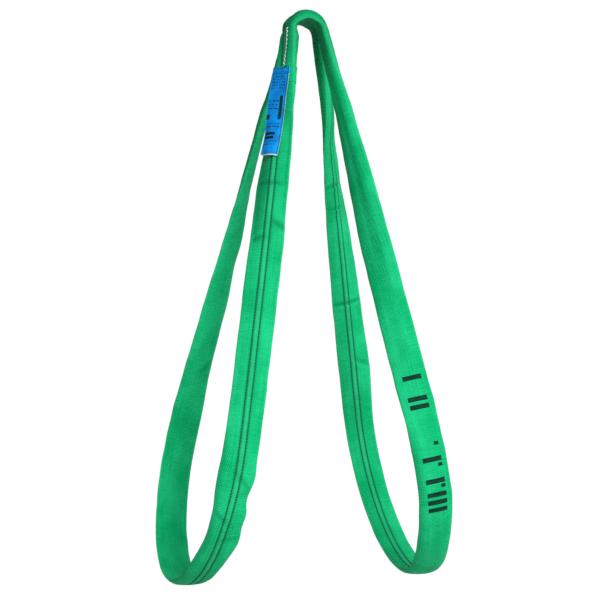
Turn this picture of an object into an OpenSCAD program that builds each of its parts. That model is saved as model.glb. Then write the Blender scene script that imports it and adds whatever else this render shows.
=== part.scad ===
// Endless sling rigged as a basket: two bights side by side over a hook, two doubled loops under a round load.
// Millimetres. +Z is up, +X runs along the load's axis, +Y points to the far side.
// The origin is the centre of the hook's round section.

/* [Rigging] */
// Radius of the round load that the two loops carry
load_r = 177.8; // [150:0.1:200]
// Radius of the hook's section under the bights
hook_r = 18; // [14:0.5:20]
// Height of the hook's centre above the load's axis
drop = 655; // [600:5:760]
// Tilt of the near left leg away from the vertical
tilt_near_left = 10; // [6:0.5:14]
// Tilt of the far left leg
tilt_far_left = 12; // [6:0.5:14]
// Tilt of the near right leg
tilt_near_right = 10; // [6:0.5:14]
// Tilt of the far right leg
tilt_far_right = 10.5; // [6:0.5:14]

/* [Web] */
// Width of the cover where it lies flat
web_w = 50; // [44:1:54]
// Thickness of the loaded cover and core
web_t = 8; // [7:0.5:9]
// Width of the cover bunched up over the hook
bight_w = 30; // [26:1:32]
// Thickness of the cover bunched up over the hook
bight_t = 15; // [13:0.5:17]
// Distance between the middles of the two bights
bight_pitch = 34; // [33:0.5:38]
// Thickness of the woven cover
cover_t = 1.2; // [1:0.1:1.5]
// Distance between the two stitch rows of the seam
seam_pitch = 9; // [7:0.5:11]

/* [Label] */
// Width of the label
label_w = 28; // [24:1:30]
// Length of the label below its sewn tail
label_l = 128; // [100:2:135]
// How far the label's middle lies off the middle of the cover
label_shift = -6; // [-8:0.5:0]

/* [Hidden] */
$fn = 96;

// Sides and faces: a leg's side is -1 (left) or 1 (right), its face is -1 (near) or 1 (far)
LEFT = -1;
RIGHT = 1;
NEAR = -1;
FAR = 1;

// Legs: side, face, tilt, how late the quarter turn from the load to the hook comes (1 is even, more is
// later), and the share of the way up where the cover begins to bunch
near_left = [LEFT, NEAR, tilt_near_left, 2.0, 0.74];
far_left = [LEFT, FAR, tilt_far_left, 0.9, 0.3];
near_right = [RIGHT, NEAR, tilt_near_right, 1.1, 0.42];
far_right = [RIGHT, FAR, tilt_far_right, 1.7, 0.6];
// The turn only begins where the leg has left the load
turn_start = 0.08;

// Core
bundles = 5;
core_gap = 0.8;
bundle_gap = 0.4;

// Thread
thread_w = 1.2;
thread_sunk = 0.3;
thread_proud = 0.3;
seam_start = 0.03;

// Bights: the wall over the hook ends short of the legs, so the loops can swing
bight_half_angle = 57;
leg_clear = 3;
seam_clear = 6;

// Centrelines
wrap_r = load_r + web_t / 2;
turn_r = hook_r + bight_t / 2;
bight_y = bight_pitch / 2;

// Sections
section_points = 16;
section_power = 0.55;
leg_rings = 25;
bundle_points = 6;

// Hem and label on the near left leg, as distances down from the hook's level
hem_top = 66;
hem_l = 30;
hem_t = 1;
hem_gap = 0.5;
tail_l = 10;
tail_top = 69;
leaf_t = 0.5;
leaf_gap = 0.3;
label_face_out = hem_gap + hem_t + 2 * leaf_gap + leaf_t;
inner_leaf_out = hem_gap + hem_t + leaf_gap;
inner_leaf_longer = 3;
inner_leaf_wider = 1.5;
ink_t = 0.25;
label_from = label_shift - label_w / 2;
leaf_top = tail_top + tail_l + 0.5;
// Each block: distance below the label's top edge, length, place across from the label's middle, width
label_blocks = [[30, 36, 8, 4], [60, 6, -11, 6], [88, 14, -8, 18]];

// Rated-load print on the near right: bars on the leg as [distance from its foot, length], bars on the saddle as
// [angle above the load's axis, angle covered], dots on the saddle as that angle alone
mark_w = 27;
mark_from = 3 - mark_w / 2;
mark_gap = 0.02;
mark_leg_bars = [[37, 4.5], [49, 4.5], [81, 4.5]];
mark_saddle_bars = [[2, 1.4], [-7.7, 1.4], [-14, 1.4], [-17.6, 1.4], [-21.3, 1.4]];
mark_saddle_dots = [9, -0.4, -10];
mark_dot_w = 4;
mark_dot_angle = 1.2;

// ---------- functions ----------

function mix(a, b, k) = a + (b - a) * k;
function clamp01(v) = min(1, max(0, v));
function smooth(v) = let (c = clamp01(v)) c * c * (3 - 2 * c);

// A leg's own plane is tilted about the hook's axis. These places are in that plane.
function side_of(leg) = leg[0];
function face_of(leg) = leg[1];
function tilt_of(leg) = leg[2];
function leave_z(leg) = turn_r * sin(tilt_of(leg));
// Angle above the load's axis at which the leg leaves the load
function lift_of(leg) =
    let (rise = leave_z(leg) + drop)
    atan2(rise, bight_y) - acos(wrap_r / norm([bight_y, rise]));
function foot_y(leg) = wrap_r * cos(lift_of(leg));
function foot_z(leg) = wrap_r * sin(lift_of(leg)) - drop;
function foot_depth(leg) = (leave_z(leg) - foot_z(leg)) / cos(tilt_of(leg));
function lean_of(leg) = atan2(foot_y(leg) - bight_y, foot_depth(leg));
function length_of(leg) = norm([foot_y(leg) - bight_y, foot_depth(leg)]);
// The leg's foot in the object's own frame
function foot_of(leg) = [
    side_of(leg) * (turn_r / cos(tilt_of(leg)) - foot_z(leg) * tan(tilt_of(leg))),
    face_of(leg) * foot_y(leg),
    foot_z(leg)
];

// Share of the way up a leg, 0 at the load and 1 at the hook, for a distance down from the hook's level
function up_share(leg, depth) = 1 - depth / length_of(leg);
// How far the cover is bunched up, 0 flat and 1 as over the hook
function bunch(leg, u) = smooth((u - leg[4]) / (1 - leg[4]));
function width_at(leg, u) = mix(web_w, bight_w, bunch(leg, u));
function thick_at(leg, u) = mix(web_t, bight_t, bunch(leg, u));
// Turn of a leg's section about its own line: flat on the load at the foot, on edge at the hook
function turn_at(leg, u) =
    let (flat_turn = asin(sin(tilt_of(leg)) * sin(lift_of(leg))))
    face_of(leg) * (90 * pow(u, leg[3]) * smooth(u / turn_start) - side_of(leg) * flat_turn * (1 - u));
// The seam's side of a leg, as a sign on its section's normal
function seam_sign(leg) = -side_of(leg) * face_of(leg);

// A point of a leg's section: across (over the width) and out (over the thickness) at share u
function leg_point(leg, u, across, out) =
    let (
        lean = lean_of(leg),
        face = face_of(leg),
        along = [0, -face * sin(lean), cos(lean)],
        flat_across = [1, 0, 0],
        flat_out = [0, cos(lean), face * sin(lean)],
        turn = turn_at(leg, u),
        foot = [side_of(leg) * turn_r, face * foot_y(leg), -foot_depth(leg)]
    )
    foot + along * length_of(leg) * u
    + (flat_across * cos(turn) + flat_out * sin(turn)) * across
    + (flat_out * cos(turn) - flat_across * sin(turn)) * out;

function signed_power(v, p) = sign(v) * pow(abs(v), p);
// Flat oval section of a given width and thickness
function oval(w, t) = [
    for (i = [0:section_points - 1])
        let (a = 360 * (i + 0.5) / section_points)
            [signed_power(cos(a), section_power) * w / 2, signed_power(sin(a), section_power) * t / 2]
];
// Box section between two widths and two heights
function box(w0, w1, t0, t1) = [[w1, t0], [w1, t1], [w0, t1], [w0, t0]];

// Shares from u0 to u1 in a number of rings
function shares(u0, u1, rings) = [for (i = [0:rings - 1]) mix(u0, u1, i / (rings - 1))];
function leg_ring(leg, u, section) = [for (p = section) leg_point(leg, u, p[0], p[1])];

// Side walls of a stack of rings, as triangles
function wall_faces(count, rings, first, inward) = [
    for (r = [0:rings - 2], i = [0:count - 1], half = [0, 1])
        let (
            a = first + r * count + i,
            b = first + r * count + (i + 1) % count,
            c = a + count,
            d = b + count,
            tri = half == 0 ? [a, c, b] : [b, c, d]
        )
        inward ? [tri[0], tri[2], tri[1]] : tri
];
// Flat rim between an outer and an inner ring
function rim_faces(count, outer, inner, flip) = [
    for (i = [0:count - 1], half = [0, 1])
        let (
            j = (i + 1) % count,
            tri = half == 0 ? [outer + i, outer + j, inner + i] : [outer + j, inner + j, inner + i]
        )
        flip ? [tri[0], tri[2], tri[1]] : tri
];

// ---------- sweeps ----------

// Solid bar through rings of points
module bar(rings) {
    count = len(rings[0]);
    last = (len(rings) - 1) * count;
    caps = [
        [for (i = [0:count - 1]) i],
        [for (i = [count - 1:-1:0]) last + i]
    ];
    polyhedron([for (r = rings) each r], concat(caps, wall_faces(count, len(rings), 0, false)));
}

// Tube between outer and inner rings of points
module tube(outer, inner) {
    count = len(outer[0]);
    rings = len(outer);
    total = rings * count;
    last = total - count;
    polyhedron(
        concat([for (r = outer) each r], [for (r = inner) each r]),
        concat(
            wall_faces(count, rings, 0, false),
            wall_faces(count, rings, total, true),
            rim_faces(count, 0, total, false),
            rim_faces(count, last, total + last, true)
        )
    );
}

// A leg's own plane: tilted about the hook
module in_plane(leg) rotate([0, -side_of(leg) * tilt_of(leg), 0]) children();

// ---------- legs ----------

module leg_cover(leg) {
    us = shares(0, up_share(leg, leg_clear), leg_rings);
    wall = 2 * cover_t;
    in_plane(leg) tube(
        [for (u = us) leg_ring(leg, u, oval(width_at(leg, u), thick_at(leg, u)))],
        [for (u = us) leg_ring(leg, u, oval(width_at(leg, u) - wall, thick_at(leg, u) - wall))]
    );
}

// Parallel yarn bundles: flat on the load, standing on edge over the hook
module leg_core(leg) {
    us = shares(0, up_share(leg, leg_clear), leg_rings);
    step = 360 / bundle_points;
    in_plane(leg) for (b = [0:bundles - 1]) bar([
        for (u = us)
            let (
                pitch = (width_at(leg, u) - 2 * (cover_t + core_gap)) / bundles,
                off_middle = b - (bundles - 1) / 2,
                half_w = (pitch - bundle_gap) / 2,
                // the outermost bundles are thinner, because the cover is thinner at its edges
                half_t = (thick_at(leg, u) / 2 - cover_t - core_gap) * (abs(off_middle) > 1.5 ? 0.62 : 1)
            )
            leg_ring(leg, u, [
                for (i = [0:bundle_points - 1])
                    [off_middle * pitch + half_w * cos(step * i), half_t * sin(step * i)]
            ])
    ]);
}

// Two stitch rows along a stretch of a leg, half sunk in the cover
module leg_seam(leg, from, to) {
    rings = max(2, round((to - from) * leg_rings));
    sign = seam_sign(leg);
    in_plane(leg) for (row = [-1, 1]) bar([
        for (u = shares(from, to, rings))
            let (
                mid = row * seam_pitch / 2 * width_at(leg, u) / web_w,
                low = sign * (thick_at(leg, u) / 2 - thread_sunk),
                high = sign * (thick_at(leg, u) / 2 + thread_proud)
            )
            leg_ring(leg, u, box(mid - thread_w / 2, mid + thread_w / 2, min(low, high), max(low, high)))
    ]);
}

module whole_leg_seam(leg) leg_seam(leg, seam_start, up_share(leg, seam_clear));

// ---------- saddles under the load ----------

// Ring round the load's axis
module load_ring(r_in, r_out) {
    translate([0, 0, -drop]) rotate([0, 90, 0]) difference() {
        cylinder(r = r_out, h = 4 * drop, center = true, $fn = 180);
        cylinder(r = r_in, h = 4 * drop + 1, center = true, $fn = 180);
    }
}

// Everything above a leg's foot, square to the leg
module above_foot(leg) {
    size = 2 * load_r;
    in_plane(leg)
        translate([side_of(leg) * turn_r, face_of(leg) * foot_y(leg), -foot_depth(leg)])
            rotate([face_of(leg) * lean_of(leg), 0, 0])
                translate([-size / 2, -size / 2, 0])
                    cube(size);
}

// Slice of the saddle's plane between two distances across the cover. The plane runs through both feet.
module saddle_band(legs, across_from, across_to) {
    near = foot_of(legs[0]);
    far = foot_of(legs[1]);
    size = 3 * load_r;
    difference() {
        translate((near + far) / 2)
            rotate([0, 0, -atan2(far[0] - near[0], far[1] - near[1])])
                rotate([0, -side_of(legs[0]) * (tilt_of(legs[0]) + tilt_of(legs[1])) / 2, 0])
                    translate([across_from, -size / 2, -size / 2])
                        cube([across_to - across_from, size, size]);
        above_foot(legs[0]);
        above_foot(legs[1]);
        translate([-size, -size / 2, load_r / 2 - drop])
            cube([2 * size, size, size]);
    }
}

module saddle_cover(legs) {
    half = web_w / 2;
    difference() {
        intersection() {
            load_ring(load_r, load_r + web_t);
            saddle_band(legs, -half, half);
        }
        intersection() {
            load_ring(load_r + cover_t, load_r + web_t - cover_t);
            saddle_band(legs, cover_t - half, half - cover_t);
        }
    }
}

module saddle_core(legs) {
    room = web_w - 2 * (cover_t + core_gap);
    pitch = room / bundles;
    for (b = [0:bundles - 1]) {
        low = b * pitch - room / 2 + bundle_gap / 2;
        intersection() {
            load_ring(load_r + cover_t + core_gap, load_r + web_t - cover_t - core_gap);
            saddle_band(legs, low, low + pitch - bundle_gap);
        }
    }
}

// Two stitch rows between two radii
module saddle_seam(legs, r_in, r_out) {
    for (row = [-1, 1]) {
        mid = row * seam_pitch / 2;
        intersection() {
            load_ring(r_in, r_out);
            saddle_band(legs, mid - thread_w / 2, mid + thread_w / 2);
        }
    }
}

// ---------- bights over the hook ----------

// Arc about the hook's axis of the profile given as children: X is the radius, Y runs to the near side
module over_hook(half_angle) {
    rotate([90, 0, 0]) rotate([0, 0, 90 - half_angle])
        rotate_extrude(angle = 2 * half_angle, $fn = 120) children();
}

// Flat on the hook, round on top
module bight_profile(inset) {
    w = bight_w - 2 * inset;
    t = bight_t - 2 * inset;
    round_r = t * 0.42;
    translate([hook_r + inset, -w / 2]) {
        translate([0, round_r]) square([t, w - 2 * round_r]);
        square([t - round_r, w]);
        for (y = [round_r, w - round_r])
            translate([t - round_r, y]) circle(r = round_r, $fn = 48);
    }
}

module bight_cover(face) {
    translate([0, face * bight_y, 0]) over_hook(bight_half_angle) difference() {
        bight_profile(0);
        bight_profile(cover_t);
    }
}

module bight_core(face) {
    inset = cover_t + core_gap;
    room = bight_w - 2 * inset;
    pitch = room / bundles;
    translate([0, face * bight_y, 0]) for (b = [0:bundles - 1])
        over_hook(bight_half_angle) intersection() {
            bight_profile(inset);
            translate([0, b * pitch - room / 2 + bundle_gap / 2])
                square([2 * turn_r, pitch - bundle_gap]);
        }
}

module bight_seam(face) {
    mid = seam_pitch / 2 * bight_w / web_w;
    translate([0, face * bight_y, 0]) for (row = [-1, 1])
        over_hook(bight_half_angle)
            translate([hook_r + bight_t - thread_sunk, row * mid - thread_w / 2])
                square([thread_sunk + thread_proud, thread_w]);
}

// ---------- sleeve end and label on the near left leg ----------

// Bar along the near left leg between two distances down from the hook's level
module on_label_leg(depth_from, depth_to, rings, section_of) {
    us = shares(up_share(near_left, depth_to), up_share(near_left, depth_from), rings);
    in_plane(near_left) bar([for (u = us) leg_ring(near_left, u, section_of(u))]);
}

// Box on the seam's side of that leg, between two distances across and two heights over the cover
function label_box(u, across_from, across_to, out_from, out_to) =
    let (top = thick_at(near_left, u) / 2) box(across_from, across_to, -top - out_to, -top - out_from);

module sleeve_end_hem() {
    us = shares(up_share(near_left, hem_top + hem_l), up_share(near_left, hem_top), 4);
    in_grow = 2 * hem_gap;
    out_grow = in_grow + 2 * hem_t;
    color("seagreen") in_plane(near_left) tube(
        [for (u = us) leg_ring(near_left, u,
            oval(width_at(near_left, u) + out_grow, thick_at(near_left, u) + out_grow))],
        [for (u = us) leg_ring(near_left, u,
            oval(width_at(near_left, u) + in_grow, thick_at(near_left, u) + in_grow))]
    );
}

// Two rows of stitches round the hem, on its near side beside the label
module sleeve_end_stitches() {
    start = label_shift + label_w / 2 + 1;
    color("darkgreen") for (depth = [hem_top + 3, hem_top + hem_l - 5])
        on_label_leg(depth, depth + 1.5, 2, function (u)
            label_box(u, start, width_at(near_left, u) * 0.38, hem_gap + 0.2, hem_gap + hem_t + thread_proud));
}

module label_tail() {
    color("royalblue") on_label_leg(tail_top, tail_top + tail_l, 2, function (u)
        label_box(u, label_from, label_from + label_w, inner_leaf_out, label_face_out + leaf_t));
}

// Row of short stitches over the sewn tail
module label_stitches() {
    bars = 7;
    pitch = (label_w - 4) / bars;
    first = label_from + 2 + pitch / 2;
    low = label_face_out + leaf_t;
    color("white") for (i = [0:bars - 1])
        on_label_leg(tail_top + 2, tail_top + tail_l - 2, 2, function (u)
            let (mid = first + i * pitch)
            label_box(u, mid - pitch / 4, mid + pitch / 4, low, low + thread_proud));
}

module label_face() {
    color("dodgerblue") on_label_leg(leaf_top, leaf_top + label_l, 14, function (u)
        label_box(u, label_from, label_from + label_w, label_face_out, label_face_out + leaf_t));
}

module label_inner_leaf() {
    to = label_from + label_w + inner_leaf_wider;
    color("gainsboro") on_label_leg(leaf_top, leaf_top + label_l + inner_leaf_longer, 14, function (u)
        label_box(u, label_from + 1, to, inner_leaf_out, inner_leaf_out + leaf_t));
}

// Plain printed blocks: a long bar, a small square and a field
module label_print() {
    low = label_face_out + leaf_t;
    color("black") for (b = label_blocks)
        on_label_leg(leaf_top + b[0], leaf_top + b[0] + b[1], 3, function (u)
            label_box(u, label_shift + b[2], label_shift + b[2] + b[3], low, low + ink_t));
}

// ---------- rated-load print on the near right ----------

// Printed bar on the leg, on the side away from its seam
module leg_bar(from, length) {
    us = shares(from / length_of(near_right), (from + length) / length_of(near_right), 3);
    in_plane(near_right) bar([
        for (u = us)
            let (top = thick_at(near_right, u) / 2)
            leg_ring(near_right, u, box(mark_from, mark_from + mark_w, -top - ink_t, -top))
    ]);
}

// Printed bar on the saddle's near side
module saddle_bar(angle, covered, across_from, across_to) {
    low = load_r + web_t + mark_gap;
    size = 2 * low;
    intersection() {
        load_ring(low, low + ink_t);
        saddle_band([near_right, far_right], across_from, across_to);
        translate([0, 0, -drop]) rotate([-angle, 0, 0])
            translate([0, -size, 0]) cube(size);
        translate([0, 0, -drop]) rotate([-angle - covered, 0, 0])
            translate([0, -size, -size]) cube(size);
    }
}

// Plain printed bars and dots
module load_mark() {
    to = mark_from + mark_w;
    color("black") {
        for (b = mark_leg_bars) leg_bar(b[0], b[1]);
        for (b = mark_saddle_bars) saddle_bar(b[0], b[1], mark_from, to);
        for (a = mark_saddle_dots) saddle_bar(a, mark_dot_angle, to - mark_dot_w, to);
    }
}

// ---------- nodes ----------

module front_bight_cover() color("mediumseagreen") bight_cover(NEAR);
module front_bight_core() color("ivory") bight_core(NEAR);
module front_bight_seam() color("darkgreen") bight_seam(NEAR);
module rear_bight_cover() color("mediumseagreen") bight_cover(FAR);
module rear_bight_core() color("ivory") bight_core(FAR);
module rear_bight_seam() color("darkgreen") bight_seam(FAR);
module near_left_leg_cover() color("mediumseagreen") leg_cover(near_left);
module near_left_leg_core() color("ivory") leg_core(near_left);
// The sleeve's end joint covers a stretch of this seam
module near_left_leg_seam() color("darkgreen") {
    leg_seam(near_left, seam_start, up_share(near_left, hem_top + hem_l + 1));
    leg_seam(near_left, up_share(near_left, hem_top - 1), up_share(near_left, seam_clear));
}
module far_left_leg_cover() color("mediumseagreen") leg_cover(far_left);
module far_left_leg_core() color("ivory") leg_core(far_left);
module far_left_leg_seam() color("darkgreen") whole_leg_seam(far_left);
module near_right_leg_cover() color("mediumseagreen") leg_cover(near_right);
module near_right_leg_core() color("ivory") leg_core(near_right);
module near_right_leg_seam() color("darkgreen") whole_leg_seam(near_right);
module far_right_leg_cover() color("mediumseagreen") leg_cover(far_right);
module far_right_leg_core() color("ivory") leg_core(far_right);
module far_right_leg_seam() color("darkgreen") whole_leg_seam(far_right);
module left_saddle_cover() color("mediumseagreen") saddle_cover([near_left, far_left]);
module left_saddle_core() color("ivory") saddle_core([near_left, far_left]);
// These stitches show on the saddle's outside
module left_saddle_seam() color("darkgreen")
    saddle_seam([near_left, far_left], load_r + web_t - thread_sunk, load_r + web_t + thread_proud);
module right_saddle_cover() color("mediumseagreen") saddle_cover([near_right, far_right]);
module right_saddle_core() color("ivory") saddle_core([near_right, far_right]);
// The seam faces the load here, so the stitches that stand clear of that wall are the ones inside the cover
module right_saddle_seam() color("darkgreen")
    saddle_seam([near_right, far_right], load_r + cover_t, load_r + cover_t + thread_proud);

front_bight_cover();
front_bight_core();
front_bight_seam();
rear_bight_cover();
rear_bight_core();
rear_bight_seam();
near_left_leg_cover();
near_left_leg_core();
near_left_leg_seam();
far_left_leg_cover();
far_left_leg_core();
far_left_leg_seam();
near_right_leg_cover();
near_right_leg_core();
near_right_leg_seam();
far_right_leg_cover();
far_right_leg_core();
far_right_leg_seam();
left_saddle_cover();
left_saddle_core();
left_saddle_seam();
right_saddle_cover();
right_saddle_core();
right_saddle_seam();
sleeve_end_hem();
sleeve_end_stitches();
label_tail();
label_stitches();
label_face();
label_inner_leaf();
label_print();
load_mark();
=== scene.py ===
"""Looks of the endless sling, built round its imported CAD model. Metres; +Z up, +Y to the far side.

Each loop of the sling is one strand: over the front of the hook, down the near leg, under the load, up the
far leg and over the back of the hook. A strand is a row of frames, and a section is drawn in each frame.
Everything on the strand (cover, core, stitches, hem, label, print) is placed by the same section.
Lengths in the shapes are in millimetres, and a mesh is turned into metres when it is built.
"""

import math

import bpy
import numpy as np
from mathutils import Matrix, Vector


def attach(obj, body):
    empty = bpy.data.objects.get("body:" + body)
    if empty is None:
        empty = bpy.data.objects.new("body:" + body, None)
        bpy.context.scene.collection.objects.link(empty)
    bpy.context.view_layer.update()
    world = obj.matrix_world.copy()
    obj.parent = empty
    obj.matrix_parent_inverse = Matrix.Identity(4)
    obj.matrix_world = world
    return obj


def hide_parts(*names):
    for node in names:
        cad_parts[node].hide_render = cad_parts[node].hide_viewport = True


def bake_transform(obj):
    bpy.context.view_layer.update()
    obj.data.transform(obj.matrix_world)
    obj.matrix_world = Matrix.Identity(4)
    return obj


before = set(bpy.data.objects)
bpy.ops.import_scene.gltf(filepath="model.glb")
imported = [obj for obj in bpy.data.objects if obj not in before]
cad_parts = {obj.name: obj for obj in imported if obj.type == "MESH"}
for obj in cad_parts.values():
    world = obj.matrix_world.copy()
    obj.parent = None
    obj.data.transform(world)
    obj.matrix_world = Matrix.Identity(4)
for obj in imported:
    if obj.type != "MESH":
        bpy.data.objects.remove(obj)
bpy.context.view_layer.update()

MM = 0.001

# ---------- the sling's own sizes, as in the CAD ----------

LOAD_R = 177.8
HOOK_R = 18.0
# from the hook's middle down to the load's
DROP = 655.0
WEB_W, WEB_T = 50.0, 8.0
BIGHT_W, BIGHT_T = 30.0, 15.0
# how far each bight's middle is from the hook's middle, to the near side or the far side
BIGHT_Y = 17.0
SEAM_PITCH = 9.0
# radii of the strand's middle line under the load and over the hook
WRAP_R = LOAD_R + WEB_T / 2
TURN_R = HOOK_R + BIGHT_T / 2
# share of the leg over which its quarter turn sets in
TURN_START = 0.08

LEFT, RIGHT = -1, 1
NEAR, FAR = -1, 1
SEEDS = {"left": 11, "right": 41}
# side, face, tilt, how late the quarter turn comes, share of the way up where the cover begins to bunch
LEGS = {
    "near_left": (LEFT, NEAR, 10.0, 2.0, 0.74),
    "far_left": (LEFT, FAR, 12.0, 0.9, 0.3),
    "near_right": (RIGHT, NEAR, 10.0, 1.1, 0.42),
    "far_right": (RIGHT, FAR, 10.5, 1.7, 0.6),
}

# hem and label on the near left leg, as distances down from where the leg leaves the hook
HEM_TOP, HEM_L = 66.0, 30.0
TAIL_TOP, TAIL_L = 73.0, 10.0
LEAF_TOP = TAIL_TOP + TAIL_L + 0.5
LABEL_L = 130.0
# the label's two side edges, as distances across from the leg's middle
LABEL_FROM, LABEL_TO = -16.0, 12.5
# the label's drift across the leg on its way down
LABEL_SKEW = 9.0
# how much higher its left edge lies than its right one, and how far it stands off: at the top, further down
LABEL_TURN = (4.0, 2.0)
LABEL_OFF = (2.5, 7.5)
# the pale inner leaf: how much longer it is, and where its edges lie from the face leaf's
INNER_LONGER, INNER_WIDER, INNER_IN = 2.0, 0.2, 1.0
# heights of the two leaves over the cover, their thickness, and a length down the label from its top edge
INNER_OVER, FACE_OVER, LEAF_T = 1.6, 2.5, 0.45
LABEL_TOP = FACE_OVER + LEAF_T
LABEL_BEND = 12.0

# distance between the rings of a strand, and how many steps a ring has over one face
RING_STEP = 2.0
HALF_POINTS = 36
# the section's outline, (1 - |x| ** EDGE_SHAPE) ** EDGE_POWER, and its least half thickness
EDGE_SHAPE, EDGE_POWER = 3.2, 0.62
THINNEST = 0.6
# the stitch rows' place across, as a share of half the width
SEAM_X = SEAM_PITCH / WEB_W
# how dark the painted shade in a crease is for each millimetre of its depth
CREASE_SHADE = 0.4
# the core's depth under the cover
CORE_INSET = 2.6
# how far the hem stands proud of the cover, and the way round it
HEM_PROUD = 1.1

# stitches: distance from one to the next, how much of it the thread covers, and the thread's size
SEAM_STITCH = {"pitch": 4.4, "share": 0.8, "width": 1.7, "height": 0.9}
HEM_STITCH = {"pitch": 4.0, "share": 0.78, "width": 1.1, "height": 0.8}
# the thread's heights along a stitch as shares of its own height, and its height over the cover
STITCH_ARCH = np.array([-0.55, 0.12, 0.3, 0.12, -0.55])
STITCH_LIFT = 0.15
# the way round a thread on the cloth map, in metres
THREAD_ROUND = 0.004

# How far each edge of the cover strays, by loop and edge: (distance past the near foot, stray outwards)
EDGE_WAVES = {
    ("left", 1): [
        (-330, 0), (-300, 1.2), (-60, 0.8), (30, 0), (52, 2.6), (86, -4), (108, 3.4), (124, 0.5), (152, 6),
        (215, 0), (780, 0), (890, 7), (980, 7), (1060, 0),
    ],
    ("left", -1): [
        (-460, 0), (-410, 2.5), (-370, 2.5), (-330, 0), (-300, -0.6), (-40, 0), (62, 2.5), (84, 1),
        (104, -2.5), (150, -5), (210, 0),
    ],
    ("right", 1): [
        (-330, 0), (-200, 0), (-90, 3), (-20, 5), (60, 5), (90, 5), (130, 3), (180, 0),
        (660, 0), (760, 5), (1040, 7), (1110, 0),
    ],
    ("right", -1): [
        (-330, 0), (-200, -2), (-90, -2.5), (-20, -3.5), (90, -4), (130, -2), (180, 0),
    ],
}

# Edges that turn away, by loop: on the near leg, edge, from and to as distances down from the hook, how far,
# towards which face
TURNED_EDGES = {
    "left": [(True, -1, 125, 290, 9.0, -1), (False, 1, 330, 560, 6.0, 1)],
    "right": [(False, 1, 200, 480, 8.0, -1), (True, -1, 100, 520, 1.0, 1), (True, 1, 60, 240, 4.0, 1)],
}

# Creases, by loop: on the near leg, distance past that leg's foot (less than 0 is up the leg), place across,
# face, angle in degrees, half length, half width, depth
CREASES = {
    "left": [
        (True, -386, -0.05, 1, 86, 20, 3.4, 2.2),
        (True, -322, 0.6, 1, 66, 14, 5.0, 2.6),
        (True, -300, -0.55, 1, 108, 10, 4.0, 2.6),
        (True, 60, 0.35, 1, 52, 20, 4.0, 1.5),
        (True, 74, 0.75, 1, 120, 12, 5.0, 1.5),
        (True, 118, -0.4, 1, 60, 18, 4.0, 1.0),
        (True, 150, 0.5, 1, 110, 16, 4.0, 1.0),
        (False, -95, 0.5, -1, 45, 17, 5.0, 2.0),
    ],
    "right": [
        (True, 20, -0.5, -1, 70, 16, 3.0, 0.8),
        (True, 96, -0.4, -1, 118, 18, 4.0, 0.9),
        (False, -400, -0.2, 1, 88, 22, 3.0, 2.6),
        (False, -363, -0.1, 1, 94, 24, 2.6, 2.0),
        (False, -202, 0.0, 1, 92, 30, 3.6, 3.0),
        (False, -95, 0.6, 1, 130, 14, 4.0, 1.8),
    ],
}


def smooth(v):
    c = np.clip(v, 0.0, 1.0)
    return c * c * (3 - 2 * c)


def rise(v, start, over):
    """0 up to the start, then smoothly up to 1 over the distance that follows."""
    return smooth((v - start) / over)


def stretch(v, start, over, end, fall):
    """1 along a stretch: it rises from its start, and falls off past its end."""
    return rise(v, start, over) * (1 - rise(v, end, fall))


def mix(a, b, k):
    return a + (b - a) * k


def face_is(face, wanted):
    return np.asarray(face) == wanted


def distances(points):
    """How far along a row of points each one lies."""
    return np.concatenate([[0], np.cumsum(np.linalg.norm(np.diff(points, axis=0), axis=1))])


def bump_at(v, centre, width):
    """A smooth hump of height 1, by distance from its centre."""
    return np.exp(-(((v - centre) / width) ** 2))


def unit(v):
    return v / np.maximum(np.linalg.norm(v, axis=-1, keepdims=True), 1e-12)


def turned_about_y(p, angle):
    c, s = math.cos(angle), math.sin(angle)
    return np.stack([p[..., 0] * c + p[..., 2] * s, p[..., 1], -p[..., 0] * s + p[..., 2] * c], -1)


def noise(seed, u, v, pitch_u, pitch_v):
    """Smooth value noise from -1 to 1 on a grid of its own."""
    grid = np.random.RandomState(seed).uniform(-1, 1, (256, 256))
    a, b = np.asarray(u) / pitch_u + 1000, np.asarray(v) / pitch_v + 1000
    i, j = np.floor(a).astype(int), np.floor(b).astype(int)
    fa, fb = smooth(a - i), smooth(b - j)
    i0, i1, j0, j1 = i % 256, (i + 1) % 256, j % 256, (j + 1) % 256
    low = mix(grid[i0, j0], grid[i1, j0], fa)
    high = mix(grid[i0, j1], grid[i1, j1], fa)
    return mix(low, high, fb)


# ---------- centre line and frames of a leg ----------


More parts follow.
